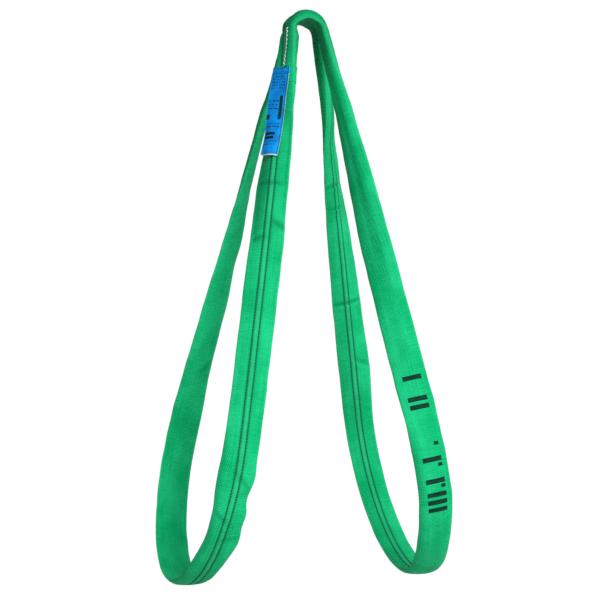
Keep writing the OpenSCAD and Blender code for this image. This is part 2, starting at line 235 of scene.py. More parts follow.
class Leg:
    """One leg's line and frames, by its share u of the way up: 0 at the load, 1 at the hook."""

    def __init__(self, name):
        side, face, tilt, ease, bunch_from = LEGS[name]
        self.side, self.face, self.ease, self.bunch_from = side, face, ease, bunch_from
        self.tilt = math.radians(tilt)
        leave_z = TURN_R * math.sin(self.tilt)
        climb = leave_z + DROP
        self.lift = math.atan2(climb, BIGHT_Y) - math.acos(WRAP_R / math.hypot(BIGHT_Y, climb))
        self.foot_y = WRAP_R * math.cos(self.lift)
        foot_z = WRAP_R * math.sin(self.lift) - DROP
        self.depth = (leave_z - foot_z) / math.cos(self.tilt)
        self.lean = math.atan2(self.foot_y - BIGHT_Y, self.depth)
        self.length = math.hypot(self.foot_y - BIGHT_Y, self.depth)
        self.foot = self.frames(np.array([0.0]))[0][0]

    def bunch(self, u):
        return rise(u, self.bunch_from, 1 - self.bunch_from)

    def turn(self, u):
        """The angle from flat on the load to edge on at the hook."""
        flat = math.asin(math.sin(self.tilt) * math.sin(self.lift))
        quarter = (math.pi / 2) * np.power(u, self.ease) * smooth(u / TURN_START)
        return self.face * (quarter - self.side * flat * (1 - u))

    def frames(self, u):
        """Centres, directions across the cover, and directions to the seam's side."""
        face, lean = self.face, self.lean
        along = np.array([0, -face * math.sin(lean), math.cos(lean)])
        flat_across = np.array([1.0, 0, 0])
        flat_out = np.array([0, math.cos(lean), face * math.sin(lean)])
        turn = self.turn(u)[:, None]
        foot = np.array([self.side * TURN_R, face * self.foot_y, -self.depth])
        centre = foot + along * self.length * u[:, None]
        across = flat_across * np.cos(turn) + flat_out * np.sin(turn)
        seam = (flat_out * np.cos(turn) - flat_across * np.sin(turn)) * (-self.side * face)
        return [turned_about_y(v, -self.side * self.tilt) for v in (centre, across, seam)]


class Loop:
    """One loop's strand, by the distance s along it from the top of the front bight."""

    def __init__(self, name):
        self.name = name
        self.near, self.far = Leg(f"near_{name}"), Leg(f"far_{name}")
        self.side = self.near.side
        parts = [
            self.crown(self.near),
            self.up_leg(self.near, True),
            self.under_load(),
            self.up_leg(self.far, False),
            self.crown(self.far, True),
        ]
        centre, across, seam, width, thick = [np.concatenate(v) for v in zip(*parts)]
        at = distances(centre)
        marks = np.cumsum([len(part[0]) for part in parts])
        self.s_leave_near, self.s_foot_near = at[marks[0] - 1], at[marks[1] - 1]
        self.s_foot_far, self.s_leave_far, self.s_end = at[marks[2] - 1], at[marks[3] - 1], at[-1]
        self.rings = int(round(self.s_end / RING_STEP)) + 1
        self.s = np.linspace(0, self.s_end, self.rings)

        def even(v):
            return np.stack([np.interp(self.s, at, v[:, k]) for k in range(v.shape[1])], 1)

        self.centre = self.soften(even(centre))
        along = unit(np.gradient(self.centre, axis=0))
        along[0] = along[-1] = 0
        along[0, 0], along[-1, 0] = self.side, -self.side
        seam = even(seam)
        seam = unit(seam - along * (seam * along).sum(1, keepdims=True))
        across = even(across)
        hand = np.sign((np.cross(along, seam) * across).sum(1, keepdims=True))
        self.seam, self.across = seam, unit(np.cross(along, seam)) * hand
        self.hand = float(hand[len(hand) // 2, 0])
        self.width = self.soften(even(width[:, None]))[:, 0]
        self.thick = self.soften(even(thick[:, None]))[:, 0]

    def soften(self, v):
        """Rounds the small corners where the strand leaves the hook."""
        reach, rounds = 22.0, 24
        soft = v.copy()
        for _ in range(rounds):
            soft[1:-1] = (soft[:-2] + 2 * soft[1:-1] + soft[2:]) / 4
        for mark in (self.s_leave_near, self.s_leave_far):
            v = mix(v, soft, bump_at(self.s, mark, reach)[:, None])
        return v

    def crown(self, leg, upward=False):
        """Over the hook, from its top to where the leg leaves it."""
        a = np.linspace(0, math.pi / 2 - leg.tilt, 24)
        radial = np.stack([self.side * np.sin(a), 0 * a, np.cos(a)], 1)
        centre = radial * TURN_R + np.array([0, leg.face * BIGHT_Y, 0])
        across = np.tile([0, leg.face, 0], (len(a), 1)).astype(float)
        made = [centre, across, radial, np.full(len(a), BIGHT_W), np.full(len(a), BIGHT_T)]
        return [v[::-1] for v in made] if upward else made

    def up_leg(self, leg, downward):
        """Between the load and the hook, where the flat strap turns and bunches."""
        u = np.linspace(0.002, 0.998, 260)
        bunch = leg.bunch(u)
        made = [*leg.frames(u), mix(WEB_W, BIGHT_W, bunch), mix(WEB_T, BIGHT_T, bunch)]
        return [v[::-1] for v in made] if downward else made

    def under_load(self):
        """Round the load, in the slanting plane through both feet."""
        near, far = self.near.foot, self.far.foot
        middle = (near + far) / 2
        skew = -math.atan2(far[0] - near[0], far[1] - near[1])
        tilt = -self.side * (self.near.tilt + self.far.tilt) / 2
        c, s = math.cos(skew), math.sin(skew)
        nx, ny, nz = turned_about_y(np.array([1.0, 0, 0]), tilt)
        normal = np.array([nx * c - ny * s, nx * s + ny * c, nz])
        a = np.linspace(math.pi + self.near.lift, -self.far.lift, 320)
        radial = np.stack([0 * a, np.cos(a), -np.sin(a)], 1)
        centre = radial * WRAP_R + np.array([0, 0, -DROP])
        centre[:, 0] = middle[0] - ((centre - middle)[:, 1:] @ normal[1:]) / normal[0]
        across = np.tile(normal, (len(a), 1))
        across = unit(across - radial * (across * radial).sum(1, keepdims=True))
        return [centre, across, radial * -self.side, np.full(len(a), WEB_W), np.full(len(a), WEB_T)]

    def frame_at(self, s):
        """Centre, direction across, direction to the seam's side, width and thickness."""
        centre, across, seam = (
            np.stack([np.interp(s, self.s, v[:, k]) for k in range(3)], -1)
            for v in (self.centre, self.across, self.seam)
        )
        width, thick = (np.interp(s, self.s, v) for v in (self.width, self.thick))
        return centre, unit(across), unit(seam), width, thick

    def point(self, s, x, face, inset=0.0, detail=True):
        """A point of the cover: x is from -1 to 1 across it, face is 1 on the seam's side or -1."""
        centre, across, seam, width, thick = self.frame_at(s)
        a, q = section(self, s, x, np.asarray(face), width, thick, inset, detail)
        return centre + across * a[..., None] + seam * q[..., None]

    def normal(self, s, x, face):
        """The direction straight out of the cover, from points close around."""
        ds, dx = 0.6, 0.012
        along = self.point(s + ds, x, face) - self.point(s - ds, x, face)
        low, high = np.clip(x - dx, -0.995, 0.995), np.clip(x + dx, -0.995, 0.995)
        sideways = self.point(s, high, face) - self.point(s, low, face)
        return unit(np.cross(along, sideways)) * (np.asarray(face) * -self.hand)[..., None]

    def lifted(self, s, x, face, out):
        """A point at a height over the cover."""
        return self.point(s, x, face) + self.normal(s, x, face) * np.asarray(out)[..., None]


def hook_distance(loop, s):
    """Distance down either leg from where it leaves the hook."""
    return np.minimum(s - loop.s_leave_near, loop.s_leave_far - s)


def hook_shade(loop, s):
    """Painted shade on the cover where it comes off the hook, full for 20 mm and gone 90 mm down from it."""
    return 1 - rise(hook_distance(loop, s), 20, 70)


def pressed(loop, s):
    """How firmly the strand lies on the load, and how firmly over the hook."""
    load = rise(s - loop.s_foot_near, -25, 45) * rise(loop.s_foot_far - s, -25, 45)
    hook = 1 - rise(hook_distance(loop, s), -22, 22)
    return load, hook


def roof(x, face):
    """A ridge along the seam that falls away to both edges, on the seam's face only."""
    return face_is(face, 1) * (0.5 - np.abs(x + 0.03)) * smooth((1 - np.abs(x)) / 0.25)


def left_folds(loop, s, x, face, d, near):
    """The left loop's folds: shift of the section's middle, and its thickness as a factor."""
    # near the hook the near leg is folded to a V: a flap on its far side and a full roll on its near side
    fold = stretch(d, -3, 22, 62, 78) * near
    aside = 0.3 * (1 - rise(d, 0, 75))
    flap = smooth((0.12 + aside - x) / 0.8)
    roll = bump_at(x, 0.55 + aside / 2, 0.36)
    middle = fold * (9.0 * flap - 1.4 * roll - 1.6)
    factor = 1 + fold * (0.42 * roll - 0.34 * flap)
    # it is full again below the end joint
    middle = middle - 3.2 * bump_at(d, 104, 30) * face_is(face, -1) * rise(x, -0.6, 0.9) * near
    # the far leg lies flatter there, tucked in behind the near one
    tucked = stretch(d, -12, 20, 80, 60) * ~near
    middle = middle - 3.4 * tucked
    factor = factor * (1 - 0.2 * tucked)
    # lower down the near leg is a flat roof with its seam along the ridge
    ridge = rise(d, 110, 90) * (1 - rise(s - loop.s_foot_near, 10, 60)) * near
    tall = 2.6 + 2.2 * bump_at(d, 215, 90)
    return middle + ridge * roof(x, face) * tall, factor


def right_folds(loop, s, x, face, d, near):
    """The right loop's folds, as for the left one."""
    # by the hook the near leg is a little crowned, and the far one hollow
    fold = stretch(d, -4, 18, 90, 150)
    middle = fold * 3.0 * (np.abs(x + 0.1) ** 1.5 - 0.35) * ~near
    middle = middle - fold * 0.8 * (np.abs(x) ** 1.6 - 0.35) * near
    # a long shallow fold down the near leg, with a full half beside it
    fold = rise(d, 60, 60) * (1 - rise(s - loop.s_foot_near, -30, 70)) * near
    aside = 0.22 * rise(d, 200, 260)
    groove = 0.4 * bump_at(x, -0.1 - aside, 0.2) - 1.2 * bump_at(x, 0.5 - aside, 0.36)
    middle = middle + fold * (1 - 0.5 * bump_at(d, 130, 90)) * groove
    # the far leg is a low roof too, and still full where it comes out from behind the near one
    ridge = rise(d, 150, 90) * (1 - rise(loop.s_foot_far - s, -90, 80)) * ~near
    full = stretch(d, 20, 50, 125, 55) * ~near
    return middle + 3.2 * ridge * roof(x, face) + 3.6 * full, 1 + 0.5 * full


def folds(loop, s, x, face):
    """The cloth's larger shapes: shift of the section's middle, its thickness as a factor."""
    d = hook_distance(loop, s)
    near = s < loop.s_end / 2
    own_folds = left_folds if loop.side == LEFT else right_folds
    middle, factor = own_folds(loop, s, x, face, d, near)
    for on_near, edge, start, end, depth, towards in TURNED_EDGES[loop.name]:
        here = stretch(d, start, 60, end, 90) * (near == on_near)
        middle = middle + towards * depth * here * rise(edge * x, 0.2, 0.95)
    return middle, factor


def ripples(loop, s, a, face, width):
    """Soft unevenness, long pulled threads, and pleats where the cover is gathered."""
    gather = np.interp(width, [BIGHT_W, WEB_W], [1.0, 0.0])
    height = np.zeros(np.broadcast(s, a).shape)
    for on_face in (-1, 1):
        seed = SEEDS[loop.name] + on_face
        soft = 0.34 * noise(seed, s, a, 21, 34) + 0.2 * noise(seed + 7, s, a, 8.5, 20)
        pulled = 0.22 * noise(seed + 3, s, a, 160, 5.5)
        pleats = gather * 0.75 * noise(seed + 5, s + 6 * a, a, 70, 4.6)
        height = height + face_is(face, on_face) * (soft + pulled + pleats)
    return height * smooth(np.minimum(s, loop.s_end - s) / 12)


def crease(ds, da, angle, length, wide):
    """A dent of depth 1 with a low ridge along one side, by the distances from its middle."""
    c, n = math.cos(math.radians(angle)), math.sin(math.radians(angle))
    along, off = ds * c + da * n, -ds * n + da * c
    return bump_at(along, 0, length) * (bump_at(off, 0, wide) - 0.6 * bump_at(off, 1.7 * wide, wide))


def relief(loop, s, x, face, width):
    """The cloth's smaller shapes: height, share in a stitch row, share between the rows, depth of crease."""
    a = x * width / 2
    seam_side = face_is(face, 1).astype(float)
    row = np.minimum(np.abs(x - SEAM_X), np.abs(x + SEAM_X)) * width / 2
    groove = bump_at(row, 0, 1.6)
    between = (np.abs(x) < SEAM_X) * (1 - groove)
    pucker = 0.26 * bump_at(row, 0, 6.0) * noise(SEEDS[loop.name] + 21, s, 0 * a, 5.2, 10) * (1 - groove)
    height = ripples(loop, s, a, face, width) + seam_side * (-0.75 * groove + 0.35 * between + pucker)
    creased = np.zeros(height.shape)
    for on_near, past, across, on_face, angle, length, wide, depth in CREASES[loop.name]:
        place = loop.s_foot_near + past if on_near else loop.s_foot_far - past
        dent = crease(s - place, a - across * WEB_W / 2, angle, length, wide)
        dent = face_is(face, on_face) * depth * dent
        height = height - dent
        creased = np.maximum(creased, dent)
    return height, groove * seam_side, between * seam_side, creased


def edge_stray(loop, s, x):
    """How far a point is carried sideways by its edge's waves."""
    past = s - loop.s_foot_near
    stray = np.zeros(np.broadcast(s, x).shape)
    for edge in (-1, 1):
        places, amounts = zip(*EDGE_WAVES[(loop.name, edge)])
        own = 0.5 * noise(71 + edge + loop.side, past, 0 * past, 24, 10)
        amount = np.mean([np.interp(past + shift, places, amounts) for shift in (-8, -3, 3, 8)], 0) + own
        stray = stray + edge * amount * rise(edge * x, 0.25, 0.7)
    return stray


def section(loop, s, x, face, width, thick, inset=0.0, detail=True):
    """Distances across the cover and towards the seam's side, with the cloth's folds in them."""
    s, x = np.broadcast_arrays(np.asarray(s, float), np.asarray(x, float))
    half = np.maximum(1 - np.abs(x) ** EDGE_SHAPE, 0) ** EDGE_POWER
    on_load, on_hook = pressed(loop, s)
    middle, factor = folds(loop, s, x, face)
    free = (1 - on_load) * (1 - on_hook)
    height = np.maximum(thick / 2 * factor - inset, THINNEST) * half
    # the face that is pressed on the load or the hook is flat, and the edges lie on it
    load_face, hook_face = loop.side, -1
    middle = middle * free + (thick / 2 - height - inset) * (load_face * on_load + hook_face * on_hook)
    a = x * (width / 2 - inset)
    q = middle + face * height
    if detail:
        bumps = relief(loop, s, x, face, width)[0]
        flat = np.clip(on_load * (face == load_face) + on_hook * (face == hook_face), 0, 1)
        q = q + face * np.maximum(bumps * smooth(half / 0.5), -0.45 * height) * (1 - flat)
    return a + edge_stray(loop, s, x), q


LOOPS = {name: Loop(name) for name in ("left", "right")}

# ---------- materials ----------

WEB_DARK, WEB_LIGHT = (0.001, 0.34, 0.116, 1), (0.012, 0.495, 0.2, 1)
WEB_BETWEEN_ROWS = (0.04, 0.47, 0.22, 1)
# painted shade in the grooves of the stitch rows
WEB_GROOVE_SHADE = (0.0, 0.07, 0.035, 1)
# painted shade near the hook and in the creases
WEB_PAINTED_SHADE = (0.0, 0.14, 0.045, 1)
# edges lighter: worn fuzz and painted sheen
WEB_WEAR_AND_SHEEN = (0.04, 0.5, 0.22, 1)
WEB_GAPS = (0.0, 0.15, 0.05, 1)
INK_DARK, INK_LIGHT = (0.002, 0.018, 0.012, 1), (0.006, 0.045, 0.03, 1)
INK_GAPS = (0.002, 0.12, 0.05, 1)


class Shader:
    """A node material on one Principled BSDF, with helpers for the maths between its nodes."""

    def __init__(self, name, **values):
        self.material = bpy.data.materials.new(name)
        self.material.use_nodes = True
        tree = self.material.node_tree
        self.nodes, self.links = tree.nodes, tree.links
        self.bsdf = tree.nodes["Principled BSDF"]
        for key, value in values.items():
            self.bsdf.inputs[key.replace("_", " ")].default_value = value

    def put(self, socket, value):
        """Links a node's output, or sets a plain value."""
        if isinstance(value, bpy.types.NodeSocket):
            self.links.new(value, socket)
        else:
            socket.default_value = value

    def maths(self, operation, first, second=0.0, clamp=False):
        node = self.nodes.new("ShaderNodeMath")
        node.operation, node.use_clamp = operation, clamp
        self.put(node.inputs[0], first)
        self.put(node.inputs[1], second)
        return node.outputs[0]

    def attribute(self, name):
        node = self.nodes.new("ShaderNodeAttribute")
        node.attribute_name = name
        return node.outputs["Fac"]

    def cloth_map(self, along, around):
        """The cloth's own coordinates, scaled along the sling and round it."""
        uv = self.nodes.new("ShaderNodeUVMap")
        uv.uv_map = "cloth"
        mapping = self.nodes.new("ShaderNodeMapping")
        mapping.inputs["Scale"].default_value = (along, around, 1.0)
        self.links.new(uv.outputs["UV"], mapping.inputs["Vector"])
        return mapping.outputs["Vector"]

    def noise(self, along, around, detail=2.0, rough=0.5):
        node = self.nodes.new("ShaderNodeTexNoise")
        node.inputs["Scale"].default_value = 1.0
        node.inputs["Detail"].default_value = detail
        node.inputs["Roughness"].default_value = rough
        self.links.new(self.cloth_map(along, around), node.inputs["Vector"])
        return node.outputs["Fac"]

    def ribs(self, along, around):
        """A soft wave whose ridges repeat that many times a metre along the sling and round it."""
        split = self.nodes.new("ShaderNodeSeparateXYZ")
        self.links.new(self.cloth_map(along * math.tau, around * math.tau), split.inputs[0])
        total = self.maths("ADD", split.outputs[0], split.outputs[1])
        return self.maths("SINE", total)

    def spread(self, value, low, high, to_low=0.0, to_high=1.0):
        """Turns values from low to high into values from to_low to to_high, smoothly."""
        node = self.nodes.new("ShaderNodeMapRange")
        node.interpolation_type = "SMOOTHSTEP"
        for key, number in zip(("From Min", "From Max", "To Min", "To Max"), (low, high, to_low, to_high)):
            node.inputs[key].default_value = number
        self.links.new(value, node.inputs["Value"])
        return node.outputs["Result"]

    def blend(self, share, first, second):
        """Mixes two colours."""
        node = self.nodes.new("ShaderNodeMix")
        node.data_type = "RGBA"
        self.put(node.inputs["Factor"], share)
        colours = [k for k in node.inputs if k.type == "RGBA"]
        for socket, value in zip(colours, (first, second)):
            self.put(socket, value)
        return next(k for k in node.outputs if k.type == "RGBA")

    def bump(self, height, distance, strength=1.0, under=None):
        node = self.nodes.new("ShaderNodeBump")
        node.inputs["Distance"].default_value = distance
        node.inputs["Strength"].default_value = strength
        self.links.new(height, node.inputs["Height"])
        if under is not None:
            self.links.new(under, node.inputs["Normal"])
        return node.outputs["Normal"]

    def finish(self, colour=None, roughness=None, normal=None):
        for key, value in (("Base Color", colour), ("Roughness", roughness), ("Normal", normal)):
            if value is not None:
                self.links.new(value, self.bsdf.inputs[key])
        return self.material


def web_material():
    """Woven polyester: crosswise ribs, slubs, folded edges lighter for worn fuzz and painted sheen, painted
    shade in the seam's grooves, near the hook and in the creases.
    """
    gloss = {"Specular_IOR_Level": 0.035, "Sheen_Weight": 0.02, "Sheen_Roughness": 0.35}
    shader = Shader("web", **gloss, Sheen_Tint=(0.2, 1.0, 0.6, 1))
    slub = shader.noise(520, 60, 3.0, 0.6)
    strands = shader.noise(9, 520, 2.0)
    cloud = shader.noise(16, 26, 3.0)
    tone = shader.maths("MULTIPLY", slub, 0.3)
    tone = shader.maths("ADD", tone, shader.maths("MULTIPLY", strands, 0.25))
    tone = shader.maths("ADD", tone, shader.maths("MULTIPLY", cloud, 0.45))
    green = shader.blend(shader.spread(tone, 0.36, 0.64), WEB_DARK, WEB_LIGHT)
    between = shader.maths("MULTIPLY", shader.attribute("strip"), 0.3)
    green = shader.blend(between, green, WEB_BETWEEN_ROWS)
    # painted shade in the grooves of the stitch rows, from the line attribute
    groove_shade = shader.maths("MULTIPLY", shader.attribute("line"), 0.65)
    green = shader.blend(groove_shade, green, WEB_GROOVE_SHADE)
    # painted shade near the hook and in the creases, patchy with the cloud noise
    shade_share = shader.maths("MULTIPLY", shader.attribute("painted_shade"), shader.spread(cloud, 0.3, 0.7, 0.45, 0.7))
    green = shader.blend(shade_share, green, WEB_PAINTED_SHADE)
    # edges lighter: worn fuzz and painted sheen
    edge_wear_sheen = shader.maths("MULTIPLY", shader.attribute("wear_and_sheen"), shader.spread(slub, 0.35, 0.7, 0.1, 0.5))
    green = shader.blend(edge_wear_sheen, green, WEB_WEAR_AND_SHEEN)
    rough = shader.spread(slub, 0.2, 0.8, 0.55, 0.7)
    weave = shader.maths("MULTIPLY", shader.ribs(420, 0), 0.6)
    weave = shader.maths("ADD", weave, shader.maths("MULTIPLY", shader.ribs(210, 430), 0.4))
    gaps = shader.spread(weave, -1, 1, 0.16, 0.0)
    green = shader.blend(gaps, green, WEB_GAPS)
    coarse = shader.bump(slub, 0.0008, 0.35)
    fine = shader.bump(weave, 0.0004, 0.9, coarse)
    return shader.finish(green, rough, fine)


def thread_material(name, dark, light):
    """Twisted thread, darker between its plies."""
    shader = Shader(name, Specular_IOR_Level=0.08, Sheen_Weight=0.04, Sheen_Roughness=0.4)
    twist = shader.spread(shader.ribs(900, 500), -1, 1)
    colour = shader.blend(twist, dark, light)
    return shader.finish(colour, shader.spread(twist, 0, 1, 0.55, 0.75), shader.bump(twist, 0.0002, 0.6))


def yarn_material():
    """Loose pale fibres that run along the sling."""
    shader = Shader("core_yarn", Specular_IOR_Level=0.3, Sheen_Weight=0.3, Sheen_Roughness=0.5)
    fibres = shader.noise(8, 1500, 2.0)
    colour = shader.blend(fibres, (0.6, 0.59, 0.53, 1), (0.88, 0.87, 0.82, 1))
    return shader.finish(colour, shader.spread(fibres, 0, 1, 0.6, 0.85), shader.bump(fibres, 0.0006, 0.8))


def leaf_material(name, dark, light, specks):
    """Coated label cloth: satin, a little creased, with a fine print of specks."""
    shader = Shader(name, Specular_IOR_Level=0.16)
    cloud = shader.noise(45, 60, 3.0)
    grain = shader.noise(1100, 1100, 1.0)
    colour = shader.blend(shader.spread(cloud, 0.3, 0.7), dark, light)
    colour = shader.blend(shader.spread(grain, 0.62, 0.8, 0.0, specks), colour, dark)
    creased = shader.bump(cloud, 0.0012, 0.5, shader.bump(grain, 0.0001, 0.5))
    return shader.finish(colour, shader.spread(grain, 0.2, 0.8, 0.42, 0.6), creased)


def ink_material():
    """Matt ink that lets a little of the weave through."""
    shader = Shader("print_ink", Specular_IOR_Level=0.06)
    slub = shader.noise(420, 75, 3.0, 0.6)
    gaps = shader.noise(900, 700, 2.0)
    colour = shader.blend(shader.spread(slub, 0.3, 0.7), INK_DARK, INK_LIGHT)
    colour = shader.blend(shader.spread(gaps, 0.66, 0.76, 0.0, 0.6), colour, INK_GAPS)
    return shader.finish(colour, shader.spread(slub, 0.2, 0.8, 0.65, 0.85), shader.bump(slub, 0.0008, 0.5))


# the material of each of the record's slots
MATERIALS = {
    "cover_web": web_material(),
    "seam_thread": thread_material("seam_thread", (0.004, 0.045, 0.025, 1), (0.012, 0.115, 0.07, 1)),
    "label_thread": thread_material("pale_thread", (0.62, 0.74, 0.66, 1), (0.9, 0.95, 0.9, 1)),
    "core_yarn": yarn_material(),
    "label_blue": leaf_material("label_blue", (0.0, 0.15, 0.45, 1), (0.0, 0.27, 0.78, 1), 0.35),
    "label_pale": leaf_material("label_pale", (0.42, 0.55, 0.62, 1), (0.62, 0.74, 0.8, 1), 0.2),
    "print_ink": ink_material(),
}

# ---------- meshes ----------


def add_object(name, data):
    ob = bpy.data.objects.new(name, data)
    bpy.context.scene.collection.objects.link(ob)
    return ob


class Mesh:
    """Points in millimetres, faces, and a pair of cloth coordinates in metres for each corner."""

    def __init__(self):
        self.points, self.faces, self.uv, self.flat = [], [], [], []
        self.values = {}

    def add_points(self, points):
        """Adds points and returns the number of the first one."""
        first = len(self.points)
        self.points.extend(np.asarray(points).reshape(-1, 3))
        return first

    def add_face(self, face, uv, flat=False, turned=False):
        if flat:
            self.flat.append(len(self.faces))
        self.faces.append(face[::-1] if turned else face)
        self.uv.extend(uv[::-1] if turned else uv)

    def add_grid(self, first, rows, count, us, vs, closed=False, turned=False):
        """Quads over rows of count points; us and vs are their cloth coordinates."""
        for r in range(rows - 1):
            for k in range(count if closed else count - 1):
                low, high = first + r * count, first + (r + 1) * count
                n = (k + 1) % count
                face = [low + k, low + n, high + n, high + k]
                uv = [(us[r], vs[k]), (us[r], vs[k + 1]), (us[r + 1], vs[k + 1]), (us[r + 1], vs[k])]
                self.add_face(face, uv, turned=turned)

    def build(self, name, slot):
        mesh = bpy.data.meshes.new(name)
        mesh.from_pydata([tuple(p) for p in np.asarray(self.points) * MM], [], self.faces)
        mesh.materials.append(MATERIALS[slot])
        shaded = np.ones(len(mesh.polygons), bool)
        shaded[self.flat] = False
        mesh.polygons.foreach_set("use_smooth", shaded)
        layer = mesh.uv_layers.new(name="cloth")
        layer.data.foreach_set("uv", np.asarray(self.uv, np.float32).ravel())
        for key, value in self.values.items():
            attribute = mesh.attributes.new(key, "FLOAT", "POINT")
            attribute.data.foreach_set("value", value.astype(np.float32))
        mesh.update()
        ob = add_object(name, mesh)
        return ob


def section_places():
    """Places round a section: x across and which face, from one edge over the seam's side and back."""
    x = np.cos(np.linspace(0, math.pi, HALF_POINTS + 1))
    # closer together at the stitch rows, and none just beside them
    rows = [row + step for row in (-SEAM_X, SEAM_X) for step in (-0.055, -0.028, 0.0, 0.028, 0.055)]
    x = [v for v in x if abs(abs(v) - SEAM_X) > 0.07] + rows
    x = np.sort(x)[::-1]
    places = [(v, 1) for v in x] + [(v, -1) for v in x[::-1][1:-1]]
    return np.array(places).T


def round_strand(loop, s, inset, detail=True):
    """Rings of the strand's skin at the distances s, with the distance round it."""
    x, face = section_places()
    grid = loop.point(*np.broadcast_arrays(s[:, None], x), face, inset, detail)
    steps = np.linalg.norm(np.roll(grid, -1, axis=1) - grid, axis=2).mean(0)
    return grid, np.concatenate([[0], np.cumsum(steps)]) * MM, x, face


def strand(name, loop, slot, inset=0.0, detail=True):
    """The whole strand's skin, closed at both ends."""
    # a second ring close to each end keeps the shading true up to it
    close = 0.05
    s = np.concatenate([[0, close], loop.s[1:-1], [loop.s_end - close, loop.s_end]])
    grid, around, x, face = round_strand(loop, s, inset, detail)
    rings, count = grid.shape[:2]
    mesh = Mesh()
    mesh.add_points(grid)
    mesh.add_grid(0, rings, count, s * MM, around, closed=True, turned=loop.hand < 0)
    for first, turned in ((0, loop.hand > 0), ((rings - 1) * count, loop.hand < 0)):
        mesh.add_face(list(range(first, first + count)), [(0.0, 0.0)] * count, flat=True, turned=turned)
    if detail:
        all_s, all_x = np.broadcast_arrays(s[:, None], x)
        width = np.interp(s, loop.s, loop.width)[:, None]
        # line marks the stitch rows' grooves, where shade is painted on the cover
        _, line, between, creased = relief(loop, all_s, all_x, face, width)
        # the edges lighter: worn fuzz and painted sheen
        edge_wear_sheen = rise(np.abs(all_x), 0.86, 0.12)
        # painted shade near the hook and in the creases
        painted_shade = np.maximum(hook_shade(loop, s)[:, None], np.clip(creased * CREASE_SHADE, 0, 1))
        values = {"line": line, "wear_and_sheen": edge_wear_sheen, "strip": between, "painted_shade": painted_shade}
        mesh.values = {key: value.ravel() for key, value in values.items()}
    return mesh.build(name, slot)


def slab(mesh, low, high, us, vs):
    """A thin closed leaf between two grids of points."""
    rows, count = low.shape[:2]
    first, over = mesh.add_points(low), mesh.add_points(high)
    mesh.add_grid(first, rows, count, us, vs, turned=True)
    mesh.add_grid(over, rows, count, us, vs)
    rim = [(0, k) for k in range(count)] + [(r, count - 1) for r in range(1, rows)]
    rim += [(rows - 1, k) for k in range(count - 2, -1, -1)] + [(r, 0) for r in range(rows - 2, 0, -1)]
    for (r, k), (m, n) in zip(rim, rim[1:] + rim[:1]):
        a, b = r * count + k, m * count + n
        uv = [(us[r], vs[k]), (us[m], vs[n]), (us[m], vs[n]), (us[r], vs[k])]
        mesh.add_face([first + b, first + a, over + a, over + b], uv, flat=True)


def stitch(mesh, line, normal, width, height):
    """One stitch along a short row of points: a flattened thread, narrower where it dives into the cloth."""
    along = unit(np.gradient(line, axis=0))
    side = unit(np.cross(along, normal))
    up = np.cross(side, along)
    count, rings = 6, len(line)
    taper = np.array([0.55] + [1.0] * (rings - 2) + [0.55])
    angle = np.arange(count) * 2 * math.pi / count
    ring = (
        line[:, None]
        + side[:, None] * (taper[:, None] * width / 2 * np.cos(angle))[..., None]
        + up[:, None] * (taper[:, None] * height / 2 * np.sin(angle))[..., None]
    )
    first = mesh.add_points(ring)
    us = (distances(line) + line[0, 2]) * MM
    vs = np.linspace(0, THREAD_ROUND, count + 1)
    mesh.add_grid(first, rings, count, us, vs, closed=True)
    for end, turned in ((first, True), (first + (rings - 1) * count, False)):
        mesh.add_face(list(range(end, end + count)), [(us[0], vs[0])] * count, turned=turned)


def stitches_along(mesh, loop, s, x, face, kind, lift=0.0):
    """A row of stitches through the places (s, x), which lie close together, at a height over the cover."""
    length = distances(loop.point(s, x, np.full(len(s), face)))
    arch = STITCH_ARCH * kind["height"]
    count = int(length[-1] / kind["pitch"])
    places = (np.arange(count)[:, None] + 0.5 + kind["share"] * np.linspace(-0.5, 0.5, 5)) * kind["pitch"]
    at_s, at_x = np.interp(places, length, s), np.interp(places, length, x)
    faces = np.full(at_s.shape, face)
    normal = loop.normal(at_s, at_x, faces)
    points = loop.point(at_s, at_x, faces) + normal * (arch + lift + STITCH_LIFT)[..., None]
    for line, up in zip(points, normal):
        stitch(mesh, line, up, kind["width"], kind["height"])


# ---------- the strands ----------


def replace_and_bend(piece, loop, part):
    """Stands for one part of the CAD's loop and bights: hides those parts and bakes the piece's placing into
    its mesh.
    """
    legs = [f"{leg}_{loop.name}_leg_{part}" for leg in ("near", "far")]
    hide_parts(*legs, f"{loop.name}_saddle_{part}", f"front_bight_{part}", f"rear_bight_{part}")
    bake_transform(piece)


def make_seam(loop):
    """Both rows of stitches along the strand, except under the left loop's hem."""
    mesh = Mesh()
    s = np.linspace(1.0, loop.s_end - 1.0, 2 * loop.rings)
    runs = [s]
    if loop.side == LEFT:
        hem_at = loop.s_leave_near + HEM_TOP
        runs = [s[s < hem_at + 1], s[s > hem_at + HEM_L - 1]]
    for run in runs:
        for row in (-SEAM_X, SEAM_X):
            stitches_along(mesh, loop, run, np.full(len(run), row), 1, SEAM_STITCH)
    return mesh.build(f"{loop.name}_loop_seam", "seam_thread")


for loop in LOOPS.values():
    cover = strand(f"{loop.name}_loop_cover", loop, "cover_web")
    replace_and_bend(cover, loop, "cover")
    core = strand(f"{loop.name}_loop_core", loop, "core_yarn", inset=CORE_INSET, detail=False)
    replace_and_bend(core, loop, "core")
    replace_and_bend(make_seam(loop), loop, "seam")

# ---------- the sleeve's end joint ----------

LEFT_LOOP, RIGHT_LOOP = LOOPS["left"], LOOPS["right"]
HEM_AT = LEFT_LOOP.s_leave_near + HEM_TOP


